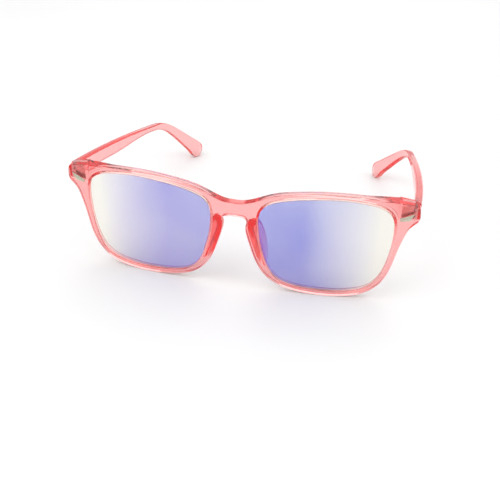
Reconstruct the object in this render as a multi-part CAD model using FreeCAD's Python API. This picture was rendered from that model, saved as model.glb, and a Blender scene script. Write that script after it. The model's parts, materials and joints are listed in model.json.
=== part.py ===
"""Full-rim plastic glasses with flat-power lenses, folding temples and three-knuckle metal hinges.

The glasses are designed in the frame of their front: x to the right of somebody looking at them,
y from the front face towards the ears, z up, with the origin on the front face midway between the
lenses.  settle() then stands the finished pieces on a table, on the bottoms of both rims and on
both ear tips, with the origin under the middle of the bounding box.  All sizes are millimetres.
"""
import FreeCAD, Part
import math
import os

from FreeCAD import Placement, Rotation, Vector

# ---- driving dimensions: the front ----
FACE_RADIUS = 357.0           # the front face is part of a tall cylinder of this radius
RIM_THICKNESS = 3.6           # from the front face to the back face
EDGE_ROUNDING = 0.5           # every long edge of the moulded front
FAR = 60.0                    # longer than anything on the front, for cutting tools
OFFSET_POINTS = 48            # points that carry an outline outwards to make a larger one
OUTLINE_PIECES = 20           # a closed outline is cut into this many edges, for sound solids
OPENING_PIECES = 12
PAD_PIECES = 4
INSERT_CLEARANCE = 0.03       # all round each metal piece that is let into the plastic

# outline of the right half, as (x, z) points that one smooth curve passes through, from the
# middle of the bridge's top, round the end-piece and under the lens, to the middle of its underside
OUTLINE = [(0, 15.8), (3.2, 15.95), (6.3, 16.75), (10.2, 18.4), (14.1, 20.0), (18.3, 21.15),
           (24.0, 22.05), (31.0, 22.75), (39.0, 23.0), (47.0, 22.7), (56.0, 22.0), (63.0, 21.2),
           (67.6, 20.45), (69.25, 19.5), (69.75, 17.6), (69.95, 15.2), (69.7, 13.8), (68.8, 12.6),
           (66.9, 10.6), (65.1, 6.4), (63.5, 0.4), (62.2, -5.9), (60.4, -12.0), (56.8, -17.6),
           (51.8, -21.05), (45.4, -22.7), (38.5, -23.25), (31.5, -23.0), (25.0, -22.1),
           (18.8, -20.2), (13.5, -16.7), (9.6, -11.2), (7.5, -6.0), (6.0, -1.2), (4.85, 3.0),
           (4.7, 6.2), (4.95, 8.0), (4.3, 9.1), (2.6, 9.6), (0, 9.75)]
OPENING_LINE = [(9.45, 7.5), (9.9, 12.0), (11.6, 15.1), (14.4, 16.95), (19.0, 18.5), (26.0, 19.8),
                (33.0, 20.5), (40.0, 20.8), (47.0, 20.35), (53.0, 19.3), (57.0, 17.7),
                (59.6, 15.2), (60.8, 11.8), (61.05, 7.5), (60.7, 1.0), (59.7, -5.5),
                (58.0, -11.4), (55.0, -16.2), (51.0, -18.9), (46.0, -20.2), (40.0, -20.85),
                (34.0, -20.8), (28.0, -20.3), (22.5, -19.2), (18.4, -17.4), (15.4, -14.6),
                (13.2, -10.5), (11.3, -4.5), (9.9, 2.0)]

# ---- driving dimensions: lenses, nose pads and accents ----
LENS_THICKNESS = 2.0
LENS_SETBACK = 0.9            # lens front behind the front face
GROOVE_DEPTH = 0.85           # how far the lens edge goes into the rim
LENS_BEVEL = 0.6
GROOVE_CLEARANCE = 0.05       # all round the lens edge in its groove
PAD_LEVELS = [                # z, inner and outer x at the rim, inner and outer x at the back, back y
    (8.3, 5.6, 7.6, 6.4, 7.7, 4.9),
    (6.9, 5.0, 8.6, 6.6, 9.0, 6.9),
    (3.6, 4.8, 9.2, 6.8, 10.2, 8.6),
    (-1.0, 6.0, 10.2, 8.0, 11.4, 9.3),
    (-5.8, 7.6, 11.5, 9.6, 12.4, 8.8),
    (-9.6, 9.2, 12.6, 10.8, 13.0, 7.0),
    (-11.8, 10.7, 12.9, 11.6, 13.0, 5.1),
    (-13.6, 12.1, 13.3, 12.5, 13.4, 3.75)]
PAD_ROOT = 2.6                # the pad blank starts here, inside the rim, and is trimmed by it
PAD_BULGE = 0.15              # the sides bulge by this much halfway back
PAD_SHOULDER = 0.85           # the back rounds off over this depth
ACCENT_OUTLINE = [(62.5, 13.8), (62.5, 15.0), (67.7, 17.2), (66.4, 14.1)]
SHARP_CORNERS = 2             # the way an offset outline turns its corners
ACCENT_PROUD = 0.3
ACCENT_SUNK = 0.6
ACCENT_GROOVES = (0.3, 0.7, 1.1)        # distances below the accent's top edge
ACCENT_GROOVE_WIDTH = 0.16
ACCENT_GROOVE_DEPTH = 0.15

# ---- driving dimensions: temples ----
ARM_DROP = math.radians(15.0)           # the arm falls away from square to the front
ARM_SPLAY = math.radians(3.7)           # outwards at the hinge
ARM_BOW = math.radians(0.104)           # then inwards, for each millimetre of length
ARM_LENGTH = 140.0
EAR_START = 95.5
EAR_END = 120.0
EAR_DROP = math.radians(25.2)
EAR_TURN_IN = math.radians(32.9)
EAR_TWIST = math.radians(19.9)
ARM_THICKNESS = 3.0
ARM_HEIGHT = 6.2
NECK_HEIGHT = 3.2             # the slimmest place, just before the ear
TIP_HEIGHT = 8.5
TAPER_START = 41.0
TAPER_END = 92.0
TIP_ROUND = 4.2               # length of the rounded end
TIP_EDGE = 0.35               # thickness at the very end, as a share of the arm's
SECTION_ROUNDING = 0.85
ROUNDING_LIMIT = 0.42         # of the height or thickness, where the section is small
ARM_OUTSIDE = 4.5             # x of the arm's outer face in the arm's frame, where the blank starts
ARM_OVERRUN = 2.0             # the blank starts this far ahead of the cut end
ARM_STEP = 0.25               # step along the arm for its centre line
STATIONS = [-1.5, 10, 24, 38, 52, 64, 75, 84, 91, 97, 102, 107, 112, 117, 122, 127, 132, 135.8,
            137.4, 138.6, 139.4, 139.85]

# ---- driving dimensions: hinges, in a frame with x outwards, y backwards and z up the pin ----
HINGE_CENTRE = Vector(65.2, 11.9, 16.2)
PIN_TILT = math.radians(6.0)            # the pin's top is this much further back than its foot
SEAT = -1.6                   # y of the end-piece's back face, which the arm butts against
BUTT_GAP = 0.15
END_PIECE_INNER = 61.4        # the end-piece is thick from here outwards
END_PIECE_SLOPE = 11.0        # and its inner side slopes into the rim over this width
END_PIECE_HEIGHTS = (12.9, 26.0)
END_PIECE_ROOTS = (6.8, 8.2)            # y inside the rim, where the slope starts and far outside
END_PIECE_DEPTHS = (10.2, 14.0)         # y where the slope ends, and past the seat
SEAT_LOW = -3.5               # the arm is seated from here upwards
SEAT_REACH = 12.0             # the seat's cutter is longer than the end-piece in every direction
CORNER_CLEARANCE = 0.4        # the thick corner stays this far outside the lens edge
KNUCKLE_RADIUS = 1.25
PIN_RADIUS = 0.58
RUNNING_CLEARANCE = 0.04
TOP_KNUCKLE = (1.05, 2.65)
MIDDLE_KNUCKLE = (-0.95, 0.95)
BOTTOM_KNUCKLE = (-2.65, -1.05)
LEAF_THICKNESS = 0.9
FRONT_LEAF_X = (-2.6, 3.3)
FRONT_LEAF_HEIGHT = 5.2
FRONT_SCREWS = [(2.2, 1.5), (2.2, -1.5)]
FRONT_SCREW_LENGTH = 2.7
TEMPLE_LEAF_X = (1.15, 2.05)
TEMPLE_LEAF_Y = (1.45, 9.6)
TEMPLE_LEAF_HEIGHT = 4.4
TEMPLE_SCREWS = [(4.0, 0.0), (7.6, 0.0)]
TEMPLE_SCREW_LENGTH = 2.2
TEMPLE_LEAF_CORNER = 0.4      # straight edge left between the two rounded rear corners, halved
SMALL_SCREW_RADIUS = 0.45
SMALL_SCREW_POINT = (0.1, 0.5)          # radius and length of the pointed end
SMALL_HEAD_RADIUS = 0.85
SMALL_HEAD_HEIGHT = 0.45
HINGE_HEAD_RADIUS = 1.05
HINGE_HEAD_HEIGHT = 0.55
SLOT_WIDTH = 0.3
SLOT_DEPTH = 0.25


# ---- shared helpers ----
def in_front_plane(points):
    return [Vector(x, 0, z) for x, z in points]


def closed_wire(points, pieces):
    """One smooth closed curve through the points, cut into edges of equal length."""
    curve = Part.BSplineCurve()
    curve.interpolate(Points=points, PeriodicFlag=True)
    length = curve.length()
    cuts = [curve.FirstParameter]
    cuts += [curve.parameterAtDistance(length * i / pieces) for i in range(1, pieces)]
    cuts.append(curve.LastParameter)
    return Part.Wire([curve.toShape(start, end) for start, end in zip(cuts, cuts[1:])])


def mirrored(shape):
    return shape.mirror(Vector(0, 0, 0), Vector(1, 0, 0))


def prism(wire, y_from=-FAR, y_to=FAR):
    """The wire, filled and swept along y."""
    moved = wire.translated(Vector(0, y_from, 0))
    return Part.Face(moved).extrude(Vector(0, y_to - y_from, 0))


def face_shell(outside, inside):
    """The layer between two depths behind the front face, both measured square to it."""
    axis_foot = Vector(0, FACE_RADIUS, -FAR)
    outer = Part.makeCylinder(FACE_RADIUS - outside, 2 * FAR, axis_foot)
    inner = Part.makeCylinder(FACE_RADIUS - inside, 2 * FAR, axis_foot)
    return outer.cut(inner)


def block(low, high):
    size = Vector(*high) - Vector(*low)
    return Part.makeBox(size.x, size.y, size.z, Vector(*low))


def rod(radius, low, high):
    return Part.makeCylinder(radius, high - low, Vector(0, 0, low))


def from_hinge_frame(shape, tilt=PIN_TILT):
    turn = Rotation(Vector(1, 0, 0), -math.degrees(tilt))
    return shape.transformed(Placement(HINGE_CENTRE, turn).toMatrix())


def along_arm(shape):
    """Turn a hinge-frame shape about the hinge's centre, to lie along the drooping, splayed arm."""
    splayed = shape.rotated(Vector(0, 0, 0), Vector(0, 0, 1), -math.degrees(ARM_SPLAY))
    droop = math.degrees(ARM_DROP - PIN_TILT)
    return splayed.rotated(Vector(0, 0, 0), Vector(1, 0, 0), -droop)


# ---- the front ----
def outline_wire():
    left = [(-x, z) for x, z in reversed(OUTLINE[1:-1])]
    return closed_wire(in_front_plane(OUTLINE + left), OUTLINE_PIECES)


def opening_wire(growth=0.0):
    """The lens opening's outline, grown outwards all round."""
    line = closed_wire(in_front_plane(OPENING_LINE), 1).Edges[0]
    points = []
    for i in range(OFFSET_POINTS):
        spot = line.getParameterByLength(line.Length * i / OFFSET_POINTS)
        along = line.tangentAt(spot)
        points.append(line.valueAt(spot) + Vector(-along.z, 0, along.x) * growth)
    return closed_wire(points, OPENING_PIECES)


def end_piece_blank():
    """A thicker corner, with a sloping inner side, that the hinge is seated in."""
    low, high = END_PIECE_HEIGHTS
    inner_root, outer_root = END_PIECE_ROOTS
    slope_end, back = END_PIECE_DEPTHS
    plan = [(END_PIECE_INNER - END_PIECE_SLOPE, inner_root), (END_PIECE_INNER, slope_end),
            (END_PIECE_INNER, back), (FAR + SEAT_REACH, back), (FAR + SEAT_REACH, outer_root)]
    corners = [Vector(x, y, low) for x, y in plan]
    face = Part.Face(Part.makePolygon(corners + corners[:1]))
    corner = face.extrude(Vector(0, 0, high - low)).common(prism(outline_wire()))
    return corner.cut(prism(opening_wire(GROOVE_DEPTH + CORNER_CLEARANCE)))


def seat_cutter():
    """Everything behind the plane that the arm butts against, from the inner side outwards."""
    inner = END_PIECE_INNER - END_PIECE_SLOPE - HINGE_CENTRE.x
    return from_hinge_frame(block((inner, SEAT, SEAT_LOW), (SEAT_REACH, SEAT_REACH, SEAT_REACH)))


def depth_behind_face(point):
    return FACE_RADIUS - math.hypot(point.x, point.y - FACE_RADIUS)


def edges_at_depth(shape, *depths):
    """The edges that lie at one of these depths behind the front face."""
    found = []
    for edge in shape.Edges:
        span = edge.LastParameter - edge.FirstParameter
        points = [edge.valueAt(edge.FirstParameter + share * span) for share in (0.1, 0.5, 0.9)]
        for depth in depths:
            if all(abs(depth_behind_face(point) - depth) < 0.01 for point in points):
                found.append(edge)
    return found


def front_blank():
    opening = prism(opening_wire())
    body = prism(outline_wire()).common(face_shell(0, RIM_THICKNESS))
    body = body.cut([opening, mirrored(opening)]).Solids[0]
    body = body.makeFillet(EDGE_ROUNDING, edges_at_depth(body, 0, RIM_THICKNESS))
    corner, seat = end_piece_blank(), seat_cutter()
    body = body.fuse([corner, mirrored(corner)])
    return body.cut([seat, mirrored(seat)])


def make_lens(growth=0.0):
    front, back = LENS_SETBACK - growth, LENS_SETBACK + LENS_THICKNESS + growth
    blank = prism(opening_wire(GROOVE_DEPTH + growth)).common(face_shell(front, back)).Solids[0]
    return blank.makeChamfer(LENS_BEVEL, edges_at_depth(blank, front, back))


def pad_section(level):
    height, in_root, out_root, in_back, out_back, back = level
    middle = 0.5 * (PAD_ROOT + back)
    points = [Vector(in_root, PAD_ROOT, height),
              Vector(0.5 * (in_root + in_back) - PAD_BULGE, middle, height),
              Vector(in_back, back - PAD_SHOULDER, height),
              Vector(0.5 * (in_back + out_back), back, height),
              Vector(out_back, back - PAD_SHOULDER, height),
              Vector(0.5 * (out_root + out_back) + PAD_BULGE, middle, height),
              Vector(out_root, PAD_ROOT, height)]
    return closed_wire(points, PAD_PIECES)


def make_nose_pad():
    blank = Part.makeLoft([pad_section(level) for level in PAD_LEVELS], True, False)
    pieces = blank.cut(face_shell(-5, RIM_THICKNESS)).Solids
    return max(pieces, key=lambda piece: piece.Volume)


def accent_blank(growth=0.0):
    wire = Part.makePolygon(in_front_plane(ACCENT_OUTLINE + ACCENT_OUTLINE[:1]))
    if growth:
        wire = wire.makeOffset2D(growth, SHARP_CORNERS)
    return prism(wire).common(face_shell(-ACCENT_PROUD, ACCENT_SUNK + growth))


def make_accent():
    """The accent with fine grooves along its top edge's direction."""
    start, end = in_front_plane(ACCENT_OUTLINE[1:3])
    along = (end - start).normalize()
    down = Vector(along.z, 0, -along.x)
    accent = accent_blank()
    layer = face_shell(-2 * ACCENT_PROUD, ACCENT_GROOVE_DEPTH - ACCENT_PROUD)
    for distance in ACCENT_GROOVES:
        near, far = start - along + down * distance, end + along + down * distance
        across = down * ACCENT_GROOVE_WIDTH
        strip = Part.makePolygon([near, far, far + across, near + across, near])
        accent = accent.cut(prism(strip).common(layer))
    return accent


# ---- the hinge ----
def knuckle(span, bore):
    return rod(KNUCKLE_RADIUS, *span).cut(rod(bore, *span))


def front_plate(growth=0.0):
    half = FRONT_LEAF_HEIGHT / 2 + growth
    return block((FRONT_LEAF_X[0] - growth, SEAT - LEAF_THICKNESS - growth, -half),
                 (FRONT_LEAF_X[1] + growth, SEAT, half))


def make_front_leaf():
    leaf = front_plate()
    for span, bore in ((TOP_KNUCKLE, PIN_RADIUS + RUNNING_CLEARANCE), (BOTTOM_KNUCKLE, PIN_RADIUS)):
        web = block((-KNUCKLE_RADIUS, SEAT, span[0]), (KNUCKLE_RADIUS, 0, span[1]))
        leaf = leaf.fuse(web).fuse(rod(KNUCKLE_RADIUS, *span)).cut(rod(bore, *span))
    return leaf.removeSplitter()


def small_screw(length):
    """A countersunk screw along -z, with its head's top at z = 0."""
    point_radius, point_length = SMALL_SCREW_POINT
    tip = Part.makeCone(point_radius, SMALL_SCREW_RADIUS, point_length, Vector(0, 0, -length))
    shank = rod(SMALL_SCREW_RADIUS, point_length - length, -SMALL_HEAD_HEIGHT)
    head = Part.makeCone(SMALL_SCREW_RADIUS, SMALL_HEAD_RADIUS, SMALL_HEAD_HEIGHT,
                         Vector(0, 0, -SMALL_HEAD_HEIGHT))
    slot = block((-2, -SLOT_WIDTH / 2, -SLOT_DEPTH), (2, SLOT_WIDTH / 2, 1))
    return tip.fuse([shank, head]).cut(slot).removeSplitter()


def make_front_screws():
    screws = []
    for x, z in FRONT_SCREWS:
        turn = Rotation(Vector(0, 0, 1), Vector(0, 1, 0))
        screws.append(small_screw(FRONT_SCREW_LENGTH).transformed(
            Placement(Vector(x, SEAT, z), turn).toMatrix()))
    return screws


def temple_plate(growth=0.0):
    half = TEMPLE_LEAF_HEIGHT / 2 + growth
    rear = TEMPLE_LEAF_Y[1] + growth
    plate = block((TEMPLE_LEAF_X[0], TEMPLE_LEAF_Y[0] - growth, -half),
                  (TEMPLE_LEAF_X[1] + growth, rear, half))
    rear_edges = [edge for edge in plate.Edges
                  if abs(edge.CenterOfMass.y - rear) < 0.01
                  and abs(abs(edge.CenterOfMass.z) - half) < 0.01]
    return along_arm(plate.makeFillet(half - TEMPLE_LEAF_CORNER, rear_edges))


def make_temple_leaf():
    low, high = MIDDLE_KNUCKLE
    web = block((0, 0, low), (KNUCKLE_RADIUS, TEMPLE_LEAF_Y[0] + 1, high))
    leaf = temple_plate().fuse([web, rod(KNUCKLE_RADIUS, low, high)])
    return leaf.cut(rod(PIN_RADIUS + RUNNING_CLEARANCE, low, high)).removeSplitter()


def make_temple_screws():
    screws = []
    for y, z in TEMPLE_SCREWS:
        turn = Rotation(Vector(0, 0, 1), Vector(-1, 0, 0))
        screws.append(small_screw(TEMPLE_SCREW_LENGTH).transformed(
            Placement(Vector(TEMPLE_LEAF_X[0], y, z), turn).toMatrix()))
    return [along_arm(screw) for screw in screws]


def make_hinge_screw():
    shank = rod(PIN_RADIUS, BOTTOM_KNUCKLE[0], TOP_KNUCKLE[1])
    head = rod(HINGE_HEAD_RADIUS, TOP_KNUCKLE[1], TOP_KNUCKLE[1] + HINGE_HEAD_HEIGHT)
    top = TOP_KNUCKLE[1] + HINGE_HEAD_HEIGHT
    slot = block((-2, -SLOT_WIDTH / 2, top - SLOT_DEPTH), (2, SLOT_WIDTH / 2, top + 1))
    return shank.fuse(head).cut(slot).removeSplitter()


# ---- the temple ----
def ease(value, start, end):
    """0 before start, 1 after end, and a smooth step between."""
    share = min(max((value - start) / (end - start), 0.0), 1.0)
    return share * share * (3 - 2 * share)


def arm_direction(s):
    ear = ease(s, EAR_START, EAR_END)
    drop = ARM_DROP + EAR_DROP * ear
    inward = -ARM_SPLAY + ARM_BOW * s + EAR_TURN_IN * ear
    return Vector(-math.sin(inward) * math.cos(drop), math.cos(inward) * math.cos(drop),
                  -math.sin(drop))


def arm_height(s):
    straight = ARM_HEIGHT + (NECK_HEIGHT - ARM_HEIGHT) * ease(s, TAPER_START, TAPER_END)
    spread = max(s - TAPER_END, 0.0) / (ARM_LENGTH - TIP_ROUND - TAPER_END)
    return straight + (TIP_HEIGHT - NECK_HEIGHT) * spread * spread


def arm_axes(s):
    """The section's up and outward directions, twisted at the ear."""
    along = arm_direction(s)
    up = Vector(0, 0, 1) - along * along.z
    up.normalize()
    out = along.cross(up)
    twist = EAR_TWIST * ease(s, EAR_START, EAR_END)
    return (up * math.cos(twist) + out * math.sin(twist),
            out * math.cos(twist) - up * math.sin(twist))


def arm_top_line():
    """Points on the arm's outer top edge, one for each station, found by small steps."""
    start = Vector(ARM_OUTSIDE, SEAT + BUTT_GAP - ARM_OVERRUN, ARM_HEIGHT / 2)
    point = from_hinge_frame(Part.Vertex(start), ARM_DROP).Point
    s, found = STATIONS[0], []
    for station in STATIONS:
        while s < station:
            move = min(ARM_STEP, station - s)
            point = point + arm_direction(s + move / 2) * move
            s += move
        found.append(Vector(point))
    return found


def rounded_section(centre, up, out, height, thickness):
    radius = min(SECTION_ROUNDING, ROUNDING_LIMIT * height, ROUNDING_LIMIT * thickness)
    half_up, half_out = height / 2, thickness / 2
    corners = [(1, 1), (-1, 1), (-1, -1), (1, -1)]
    edges, first, last = [], None, None
    for across, high in corners:
        arc_centre = centre + out * (across * (half_out - radius)) + up * (high * (half_up - radius))
        side, top = out * (across * radius), up * (high * radius)
        middle = (side + top) * math.sqrt(0.5)
        start, end = (side, top) if across * high > 0 else (top, side)
        start, end = arc_centre + start, arc_centre + end
        if last is None:
            first = start
        else:
            edges.append(Part.LineSegment(last, start).toShape())
        edges.append(Part.Arc(start, arc_centre + middle, end).toShape())
        last = end
    edges.append(Part.LineSegment(last, first).toShape())
    return Part.Wire(edges)


def make_temple_blank():
    sections = []
    for s, top in zip(STATIONS, arm_top_line()):
        up, out = arm_axes(s)
        height = arm_height(min(s, ARM_LENGTH - TIP_ROUND))
        centre = top - out * (ARM_THICKNESS / 2) - up * (height / 2)
        into_round = max(s - (ARM_LENGTH - TIP_ROUND), 0.0) / TIP_ROUND
        shrink = math.sqrt(1 - into_round * into_round)
        thickness = ARM_THICKNESS * (TIP_EDGE + (1 - TIP_EDGE) * shrink)
        sections.append(rounded_section(centre, up, out, height * shrink, thickness))
    blank = Part.makeLoft(sections, True, False)
    ahead = from_hinge_frame(block((-SEAT_REACH, SEAT - SEAT_REACH, -SEAT_REACH),
                                   (SEAT_REACH, SEAT + BUTT_GAP, SEAT_REACH)))
    return blank.cut(ahead)


# ---- putting it together ----
def build_right_side():
    """Every piece of the right side except the front itself, in the front's frame."""
    pieces = {
        "lens": make_lens(),
        "corner_accent": make_accent(),
        "front_hinge_leaf": from_hinge_frame(make_front_leaf()),
        "front_leaf_screws": Part.makeCompound(
            [from_hinge_frame(screw) for screw in make_front_screws()]),
        "hinge_screw": from_hinge_frame(make_hinge_screw()),
        "temple_hinge_leaf": from_hinge_frame(make_temple_leaf()),
        "temple_leaf_screws": Part.makeCompound(
            [from_hinge_frame(screw) for screw in make_temple_screws()]),
        "temple": make_temple_blank(),
    }
    pieces["front_hinge_leaf"] = pieces["front_hinge_leaf"].cut(pieces["front_leaf_screws"])
    pieces["temple_hinge_leaf"] = pieces["temple_hinge_leaf"].cut(pieces["temple_leaf_screws"])
    for sunk in (pieces["temple_hinge_leaf"], pieces["temple_leaf_screws"],
                 from_hinge_frame(temple_plate(INSERT_CLEARANCE))):
        pieces["temple"] = pieces["temple"].cut(sunk)
    return pieces


def settle(pieces):
    """Placement that stands the glasses on both rims and both ear tips, centred over the origin."""
    def points_of(*names):
        return [point for name in names for point in pieces[name].tessellate(0.05)[0]]

    def low(points, lean):
        return min(p.y * math.sin(lean) + p.z * math.cos(lean) for p in points)

    rims, tips = points_of("front_frame"), points_of("right_temple")
    least, most = 0.0, math.radians(15)
    for _ in range(40):
        lean = (least + most) / 2
        if low(tips, lean) < low(rims, lean):
            least = lean
        else:
            most = lean
    turn = Placement(Vector(0, 0, 0), Rotation(Vector(1, 0, 0), math.degrees(lean)))
    box = Part.makeCompound([shape.transformed(turn.toMatrix())
                             for shape in pieces.values()]).optimalBoundingBox(False, False)
    shift = Vector(0, -(box.YMin + box.YMax) / 2, -box.ZMin)
    return Placement(shift, turn.Rotation), math.degrees(lean)


def main():
    right = build_right_side()
    front = front_blank()
    right["nose_pad"] = make_nose_pad()
    for sunk in (make_lens(GROOVE_CLEARANCE), right["front_leaf_screws"],
                 accent_blank(INSERT_CLEARANCE), from_hinge_frame(front_plate(INSERT_CLEARANCE))):
        front = front.cut([sunk, mirrored(sunk)])
    pieces = {"front_frame": front}
    for name, shape in right.items():
        pieces["right_" + name] = shape
        pieces["left_" + name] = mirrored(shape)

    placement, lean = settle(pieces)
    os.makedirs("parts", exist_ok=True)
    for name, shape in pieces.items():
        placed = shape.transformed(placement.toMatrix())
        placed.exportStep("parts/" + name + ".step")
        print(name, "solids", len(placed.Solids), "valid", placed.isValid(),
              "volume", round(placed.Volume, 2))
    axis = placement.Rotation.multVec(Vector(0, math.sin(PIN_TILT), math.cos(PIN_TILT)))
    print("hinge centre", placement.multVec(HINGE_CENTRE), "axis", axis, "lean", round(lean, 3))
    print("front origin", placement.multVec(Vector(0, 0, 0)))


main()
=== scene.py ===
"""The looks of the pink transparent glasses: materials, floor, light and camera round the CAD model."""
import json
import math

import bpy
from mathutils import Matrix, Vector

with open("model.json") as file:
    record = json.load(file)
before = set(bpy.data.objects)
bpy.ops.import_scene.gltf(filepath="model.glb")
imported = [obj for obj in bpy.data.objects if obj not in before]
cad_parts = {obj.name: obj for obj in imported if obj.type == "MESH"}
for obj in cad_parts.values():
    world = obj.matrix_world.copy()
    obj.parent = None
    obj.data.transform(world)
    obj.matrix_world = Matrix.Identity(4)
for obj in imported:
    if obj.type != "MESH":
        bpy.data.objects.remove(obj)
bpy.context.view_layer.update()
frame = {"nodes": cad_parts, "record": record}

MM = 0.001                    # lengths are in metres

# ---- camera, in the frame of the glasses' front: x right, y back, z up its face ----
FRONT_ORIGIN = Vector((0.0, -66.0852, 22.9925)) * MM
FRONT_LEAN = math.radians(4.616)
CAMERA_AZIMUTH = 0.1943
CAMERA_ELEVATION = 0.5972
CAMERA_ROLL = 0.0254
CAMERA_DISTANCE = 295.62 * MM
CAMERA_TARGET = Vector((6.7495, 0.0, -4.5293)) * MM
CLIP_START = 10.0 * MM
FOCAL_LENGTH = 54.0
SENSOR_WIDTH = 36.0

# ---- noise textures: their usual detail, and what nearly all of their values lie between ----
NOISE_DETAIL = 4.0
NOISE_RANGE = (0.3, 0.7)

# ---- the plastic: what it lets through, and how its surface ripples and wears ----
PLASTIC_COLOUR = (0.995, 0.05, 0.03, 1.0)
PLASTIC_DENSITY = 204.0
PLASTIC_FACE = (1.0, 0.985, 0.98, 1.0)
PLASTIC_INDEX = 1.5
FRAME_ROUGHNESS = 0.03
PAD_ROUGHNESS = 0.05
RIPPLE_SCALE = 140.0
RIPPLE_DETAIL = 2.0
RIPPLE_STRENGTH = 0.015
RIPPLE_DEPTH = 0.4 * MM
WEAR_SCALE = 900.0
WEAR_RANGE = (0.6, 1.6)       # times the roughness

# ---- the hinges and screws ----
HINGE_COLOUR = (0.80, 0.79, 0.77, 1.0)
SCREW_COLOUR = (0.5, 0.49, 0.48, 1.0)
METAL_ROUGHNESS = 0.3
METAL_WEAR = (0.8, 1.3)       # times the roughness
METAL_STREAKS = (60.0, 1.0, 1.0)
METAL_GRAIN_SCALE = 60.0
METAL_BUMP = 0.15
GRAIN_DETAIL = 3.0
GRAIN_DEPTH = 0.05 * MM

# ---- the corner accents, with grooves that run along their top edge ----
ACCENT_TOP = [(62.5, 15.0), (67.7, 17.2)]      # the edge's ends, x and z on the front, in mm
ACCENT_COLOUR = (0.72, 0.69, 0.56)
ACCENT_STREAKS = (1.0, 1.0, 30.0)
ACCENT_GRAIN_SCALE = 400.0
ACCENT_GRAIN_SHADES = (0.88, 1.1)
ACCENT_ROUGHNESSES = (0.24, 0.42)
ACCENT_BUMP = 0.2
GROOVE_START = 0.38 * MM
GROOVE_STEP = 0.40 * MM
GROOVE_EDGES = (0.2, 0.9)     # where a wave that peaks in each groove's middle counts as groove
GROOVE_PAINTED_SHADE = 0.45           # painted shade in the grooves, times the metal's own tone

# ---- the lenses ----
RESIN_COLOUR = (0.93, 0.93, 0.84, 1.0)
RESIN_INDEX = 1.5
# The coating's colour by slant, where 0 faces the eye and 1 is edge on: blue up to the first, and
# violet from the second. EVEN_BLEND leaves the slant as one minus the cosine of its angle.
COATING_TINTS = [(0.05, (0.05, 0.12, 0.66, 1.0)), (0.35, (0.17, 0.09, 0.72, 1.0))]
EVEN_BLEND = 0.5
COATING_ROUGHNESS = 0.02
COATING_SPAN = (27.0 * MM, 56.0 * MM)   # where the coating fades, from the middle of the glasses
COATING_SHARES = (0.60, 0.02)           # its share of the surface up to that span, and past it
COATING_PATCH_SCALE = 30.0
COATING_PATCH_DETAIL = 1.0
COATING_PATCHES = (0.85, 1.15)          # times that share
LENS_FACE = (0.85, 0.92)      # the normal's part along y, where the coating starts and is whole

# ---- the floor, a square that reaches this far to each side of the glasses ----
FLOOR_REACH = 3.0
FLOOR_TONES = (0.80, 0.83)
FLOOR_MOTTLE_SCALE = 3.0
FLOOR_ROUGHNESS = 0.6

# ---- the lamps (name, place, diameter, watts) and the sky ----
LAMPS = [
    ("key", (-0.5, -0.5, 0.9), 1.0, 4.2),
    ("fill", (0.7, -0.2, 0.7), 0.9, 2.1),
    ("back", (0.0, 0.8, 0.8), 1.0, 2.0),
]
LAMP_AIM = (0.0, 0.0, 0.02)
SKY_HEIGHTS = (0.0, 0.8)      # z of the direction looked in: the horizon, and well up
SKY_STRENGTHS = (0.80, 0.90)  # at those heights
WHITE = (1.0, 1.0, 1.0, 1.0)

# ---- how often light may bounce: clear pieces behind each other need many times ----
ALL_BOUNCES = 32
GLOSSY_BOUNCES = 24
CLEAR_BOUNCES = 32


def front_stand():
    """The matrix from the frame of the glasses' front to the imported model's."""
    return Matrix.Translation(FRONT_ORIGIN) @ Matrix.Rotation(FRONT_LEAN, 4, "X")


# ---- node helpers ----
class Nodes:
    """A material's node tree, with short calls to add and link nodes."""

    def __init__(self, name):
        self.material = bpy.data.materials.new(name)
        self.material.use_nodes = True
        self.tree = self.material.node_tree
        self.tree.nodes.clear()
        self.output = self.tree.nodes.new("ShaderNodeOutputMaterial")

    def add(self, kind, sockets=None, **settings):
        node = self.tree.nodes.new(kind)
        for name, value in settings.items():
            setattr(node, name, value)
        for name, value in (sockets or {}).items():
            self.feed(value, node.inputs[name])
        return node

    def feed(self, value, socket):
        if isinstance(value, bpy.types.NodeSocket):
            self.tree.links.new(value, socket)
        else:
            socket.default_value = value

    def math(self, operation, first, second=0.0):
        node = self.tree.nodes.new("ShaderNodeMath")
        node.operation = operation
        self.feed(first, node.inputs[0])
        self.feed(second, node.inputs[1])
        return node.outputs["Value"]

    def carry(self, value, low, high, new_low, new_high):
        """A value from low to high carried to new_low to new_high."""
        sockets = {"Value": value, "From Min": low, "From Max": high,
                   "To Min": new_low, "To Max": new_high}
        return self.add("ShaderNodeMapRange", sockets).outputs["Result"]

    def surface(self, shader):
        self.tree.links.new(shader, self.output.inputs["Surface"])
        return self.material


def mottle(nodes, scale, detail=NOISE_DETAIL):
    """Soft noise in object space, from 0 to 1."""
    place = nodes.add("ShaderNodeTexCoord").outputs["Object"]
    noise = nodes.add("ShaderNodeTexNoise", {"Vector": place, "Scale": scale, "Detail": detail})
    return noise.outputs["Fac"]


def spread(nodes, noise, low, high):
    """Noise carried from NOISE_RANGE to low to high."""
    return nodes.carry(noise, *NOISE_RANGE, low, high)


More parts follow.
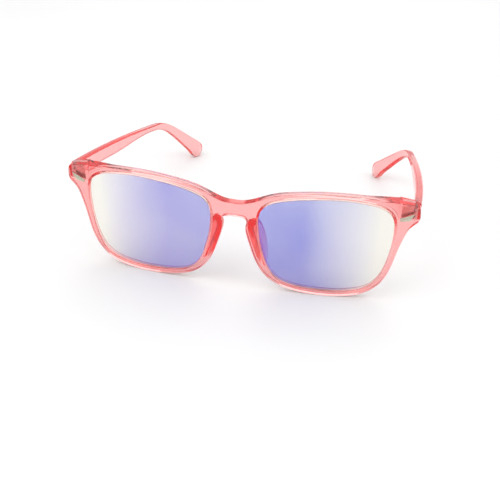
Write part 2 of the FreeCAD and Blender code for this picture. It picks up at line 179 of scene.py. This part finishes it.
def clear_plastic(name, roughness):
    """Clear moulded plastic that is coloured through its depth."""
    nodes = Nodes(name)
    waves = mottle(nodes, RIPPLE_SCALE, RIPPLE_DETAIL)
    ripple = nodes.add("ShaderNodeBump", {
        "Height": waves, "Strength": RIPPLE_STRENGTH, "Distance": RIPPLE_DEPTH})
    least, most = [roughness * times for times in WEAR_RANGE]
    shader = nodes.add("ShaderNodeBsdfPrincipled", {
        "Base Color": PLASTIC_FACE, "IOR": PLASTIC_INDEX, "Transmission Weight": 1.0,
        "Roughness": spread(nodes, mottle(nodes, WEAR_SCALE), least, most),
        "Normal": ripple.outputs["Normal"]})
    depth = nodes.add("ShaderNodeVolumeAbsorption", {
        "Color": PLASTIC_COLOUR, "Density": PLASTIC_DENSITY})
    nodes.tree.links.new(depth.outputs["Volume"], nodes.output.inputs["Volume"])
    return nodes.surface(shader.outputs["BSDF"])


def brushed(nodes, place, streaks, scale, strength):
    """A grain from 0 to 1 that is drawn out into streaks, and the normal that it bumps."""
    stretched = nodes.add("ShaderNodeMapping", {"Vector": place, "Scale": streaks})
    grain = nodes.add("ShaderNodeTexNoise", {
        "Vector": stretched.outputs["Vector"], "Scale": scale, "Detail": GRAIN_DETAIL}).outputs["Fac"]
    bump = nodes.add("ShaderNodeBump", {"Height": grain, "Strength": strength, "Distance": GRAIN_DEPTH})
    return grain, bump.outputs["Normal"]


def metal(name, colour):
    """Satin metal with a fine brushed grain."""
    nodes = Nodes(name)
    place = nodes.add("ShaderNodeTexCoord").outputs["Object"]
    grain, normal = brushed(nodes, place, METAL_STREAKS, METAL_GRAIN_SCALE, METAL_BUMP)
    least, most = [METAL_ROUGHNESS * times for times in METAL_WEAR]
    shader = nodes.add("ShaderNodeBsdfPrincipled", {
        "Base Color": colour, "Metallic": 1.0, "Normal": normal,
        "Roughness": spread(nodes, grain, least, most)})
    return nodes.surface(shader.outputs["BSDF"])


def accent_metal():
    """Brushed pale champagne metal, with painted shade that darkens the grooves along its top edge."""
    nodes = Nodes("accent_metal")
    place = nodes.add("ShaderNodeTexCoord").outputs["Object"]
    parts = nodes.add("ShaderNodeSeparateXYZ", {"Vector": place}).outputs
    outwards = nodes.math("ABSOLUTE", parts["X"])
    side = nodes.add("ShaderNodeCombineXYZ", {
        "X": outwards, "Y": parts["Y"], "Z": parts["Z"]}).outputs["Vector"]
    stand = front_stand()
    start, end = [stand @ (Vector((x, 0.0, z)) * MM) for x, z in ACCENT_TOP]
    down = stand.to_3x3() @ Vector((0.0, 1.0, 0.0)).cross((end - start).normalized())
    below = nodes.add("ShaderNodeVectorMath", {0: side, 1: down}, operation="DOT_PRODUCT")
    depth = nodes.math("SUBTRACT", below.outputs["Value"], start.dot(down))
    # Painted shade: a wave that peaks in each groove's middle marks where the colour is darkened.
    turn = nodes.math("MULTIPLY", nodes.math("SUBTRACT", depth, GROOVE_START), math.tau / GROOVE_STEP)
    groove_painted_shade_mask = nodes.carry(nodes.math("COSINE", turn), *GROOVE_EDGES, 0.0, 1.0)
    grain, normal = brushed(nodes, side, ACCENT_STREAKS, ACCENT_GRAIN_SCALE, ACCENT_BUMP)
    # Painted shade: the colour is darkened in the grooves, and also varied by the grain's own random
    # tone.
    painted_shade_and_grain = nodes.math("MULTIPLY", nodes.carry(groove_painted_shade_mask, 0.0, 1.0, 1.0, GROOVE_PAINTED_SHADE),
                       spread(nodes, grain, *ACCENT_GRAIN_SHADES))
    colour = nodes.add("ShaderNodeVectorMath", {0: ACCENT_COLOUR, "Scale": painted_shade_and_grain}, operation="SCALE")
    shader = nodes.add("ShaderNodeBsdfPrincipled", {
        "Base Color": colour.outputs[0], "Metallic": 1.0, "Normal": normal,
        "Roughness": spread(nodes, grain, *ACCENT_ROUGHNESSES)})
    return nodes.surface(shader.outputs["BSDF"])


def coating_colour(nodes):
    """Blue where the surface faces the eye, and violet where it is seen at a slant."""
    slant = nodes.add("ShaderNodeLayerWeight", {"Blend": EVEN_BLEND}).outputs["Facing"]
    tint = nodes.add("ShaderNodeValToRGB", {"Fac": slant})
    for element, (position, colour) in zip(tint.color_ramp.elements, COATING_TINTS):
        element.position = position
        element.color = colour
    return tint.outputs["Color"]


def coating_share(nodes):
    """The coating's share of the surface: on the two large faces, and only from outside the lens.

    It falls off outwards, so that both the blue and the clear look of the lens show on a pale floor.
    """
    place = nodes.add("ShaderNodeTexCoord").outputs
    across = nodes.add("ShaderNodeSeparateXYZ", {"Vector": place["Object"]}).outputs["X"]
    share = nodes.carry(nodes.math("ABSOLUTE", across), *COATING_SPAN, *COATING_SHARES)
    patches = mottle(nodes, COATING_PATCH_SCALE, COATING_PATCH_DETAIL)
    share = nodes.math("MULTIPLY", share, spread(nodes, patches, *COATING_PATCHES))
    normal = nodes.add("ShaderNodeSeparateXYZ", {"Vector": place["Normal"]}).outputs["Y"]
    on_face = nodes.carry(nodes.math("ABSOLUTE", normal), *LENS_FACE, 0.0, 1.0)
    share = nodes.math("MULTIPLY", share, on_face)
    inside = nodes.add("ShaderNodeNewGeometry").outputs["Backfacing"]
    return nodes.math("MULTIPLY", share, nodes.math("SUBTRACT", 1.0, inside))


def lens_resin():
    """Clear resin, slightly yellow, with a coating that mirrors blue and violet."""
    nodes = Nodes("lens_resin")
    resin = nodes.add("ShaderNodeBsdfPrincipled", {
        "Base Color": RESIN_COLOUR, "Roughness": 0.0, "IOR": RESIN_INDEX, "Transmission Weight": 1.0})
    coating = nodes.add("ShaderNodeBsdfPrincipled", {
        "Base Color": coating_colour(nodes), "Metallic": 1.0, "Roughness": COATING_ROUGHNESS})
    both = nodes.add("ShaderNodeMixShader", {
        "Fac": coating_share(nodes), 1: resin.outputs["BSDF"], 2: coating.outputs["BSDF"]})
    return nodes.surface(both.outputs["Shader"])


LOOKS = {
    "frame_plastic": clear_plastic("frame_plastic", FRAME_ROUGHNESS),
    "pad_plastic": clear_plastic("pad_plastic", PAD_ROUGHNESS),
    "lens_resin": lens_resin(),
    "accent_metal": accent_metal(),
    "hinge_metal": metal("hinge_metal", HINGE_COLOUR),
    "screw_metal": metal("screw_metal", SCREW_COLOUR),
}


def dress_frame():
    """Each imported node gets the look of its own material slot."""
    for part in frame["record"]["subparts"]:
        thing = frame["nodes"][part["node"]]
        look = LOOKS[part["material_slot"]]
        thing.data.materials.clear()
        thing.data.materials.append(look)


# ---- the studio ----
def make_floor():
    """A wide pale floor with a faint mottle."""
    nodes = Nodes("studio_floor")
    tone = spread(nodes, mottle(nodes, FLOOR_MOTTLE_SCALE), *FLOOR_TONES)
    colour = nodes.add("ShaderNodeCombineColor", {"Red": tone, "Green": tone, "Blue": tone})
    shader = nodes.add("ShaderNodeBsdfPrincipled", {
        "Base Color": colour.outputs["Color"], "Roughness": FLOOR_ROUGHNESS})
    mesh = bpy.data.meshes.new("floor")
    signs = [(-1, -1), (1, -1), (1, 1), (-1, 1)]
    mesh.from_pydata([(x * FLOOR_REACH, y * FLOOR_REACH, 0.0) for x, y in signs], [], [(0, 1, 2, 3)])
    floor = bpy.data.objects.new("floor", mesh)
    floor.data.materials.append(nodes.surface(shader.outputs["BSDF"]))
    bpy.context.scene.collection.objects.link(floor)


def make_light(name, place, size, power):
    """A round area lamp that points at LAMP_AIM."""
    data = bpy.data.lights.new(name, "AREA")
    data.shape = "DISK"
    data.size = size
    data.energy = power
    light = bpy.data.objects.new(name, data)
    light.location = place
    light.rotation_euler = (Vector(LAMP_AIM) - Vector(place)).to_track_quat("-Z", "Y").to_euler()
    bpy.context.scene.collection.objects.link(light)


def make_world():
    """A white sky that is a little brighter higher up."""
    world = bpy.data.worlds.new("studio")
    world.use_nodes = True
    tree = world.node_tree
    background = tree.nodes["Background"]
    way = tree.nodes.new("ShaderNodeTexCoord").outputs["Generated"]
    height = tree.nodes.new("ShaderNodeSeparateXYZ")
    tree.links.new(way, height.inputs[0])
    glow = tree.nodes.new("ShaderNodeMapRange")
    tree.links.new(height.outputs["Z"], glow.inputs["Value"])
    limits = zip(("From Min", "From Max", "To Min", "To Max"), SKY_HEIGHTS + SKY_STRENGTHS)
    for name, value in limits:
        glow.inputs[name].default_value = value
    tree.links.new(glow.outputs["Result"], background.inputs["Strength"])
    background.inputs["Color"].default_value = WHITE
    bpy.context.scene.world = world


def make_camera():
    """The camera, which looks down at the front from a little to the right of it."""
    east, north = math.sin(CAMERA_AZIMUTH), math.cos(CAMERA_AZIMUTH)
    level, rise = math.cos(CAMERA_ELEVATION), math.sin(CAMERA_ELEVATION)
    back = Vector((east * level, -north * level, rise))
    place = CAMERA_TARGET + back * CAMERA_DISTANCE
    right = (-back).cross(Vector((0, 0, 1))).normalized()
    up = right.cross(-back)
    rolled_right = right * math.cos(CAMERA_ROLL) + up * math.sin(CAMERA_ROLL)
    rolled_up = up * math.cos(CAMERA_ROLL) - right * math.sin(CAMERA_ROLL)
    turn = Matrix((rolled_right, rolled_up, back)).transposed().to_4x4()
    data = bpy.data.cameras.new("camera")
    data.lens = FOCAL_LENGTH
    data.sensor_width = SENSOR_WIDTH
    data.clip_start = CLIP_START
    camera = bpy.data.objects.new("camera", data)
    camera.matrix_world = front_stand() @ Matrix.Translation(place) @ turn
    bpy.context.scene.collection.objects.link(camera)
    bpy.context.scene.camera = camera


dress_frame()
make_floor()
for lamp in LAMPS:
    make_light(*lamp)
make_world()
make_camera()
bpy.context.scene.view_settings.view_transform = "Standard"
light_paths = bpy.context.scene.cycles
light_paths.max_bounces = ALL_BOUNCES
light_paths.glossy_bounces = GLOSSY_BOUNCES
light_paths.transmission_bounces = CLEAR_BOUNCES
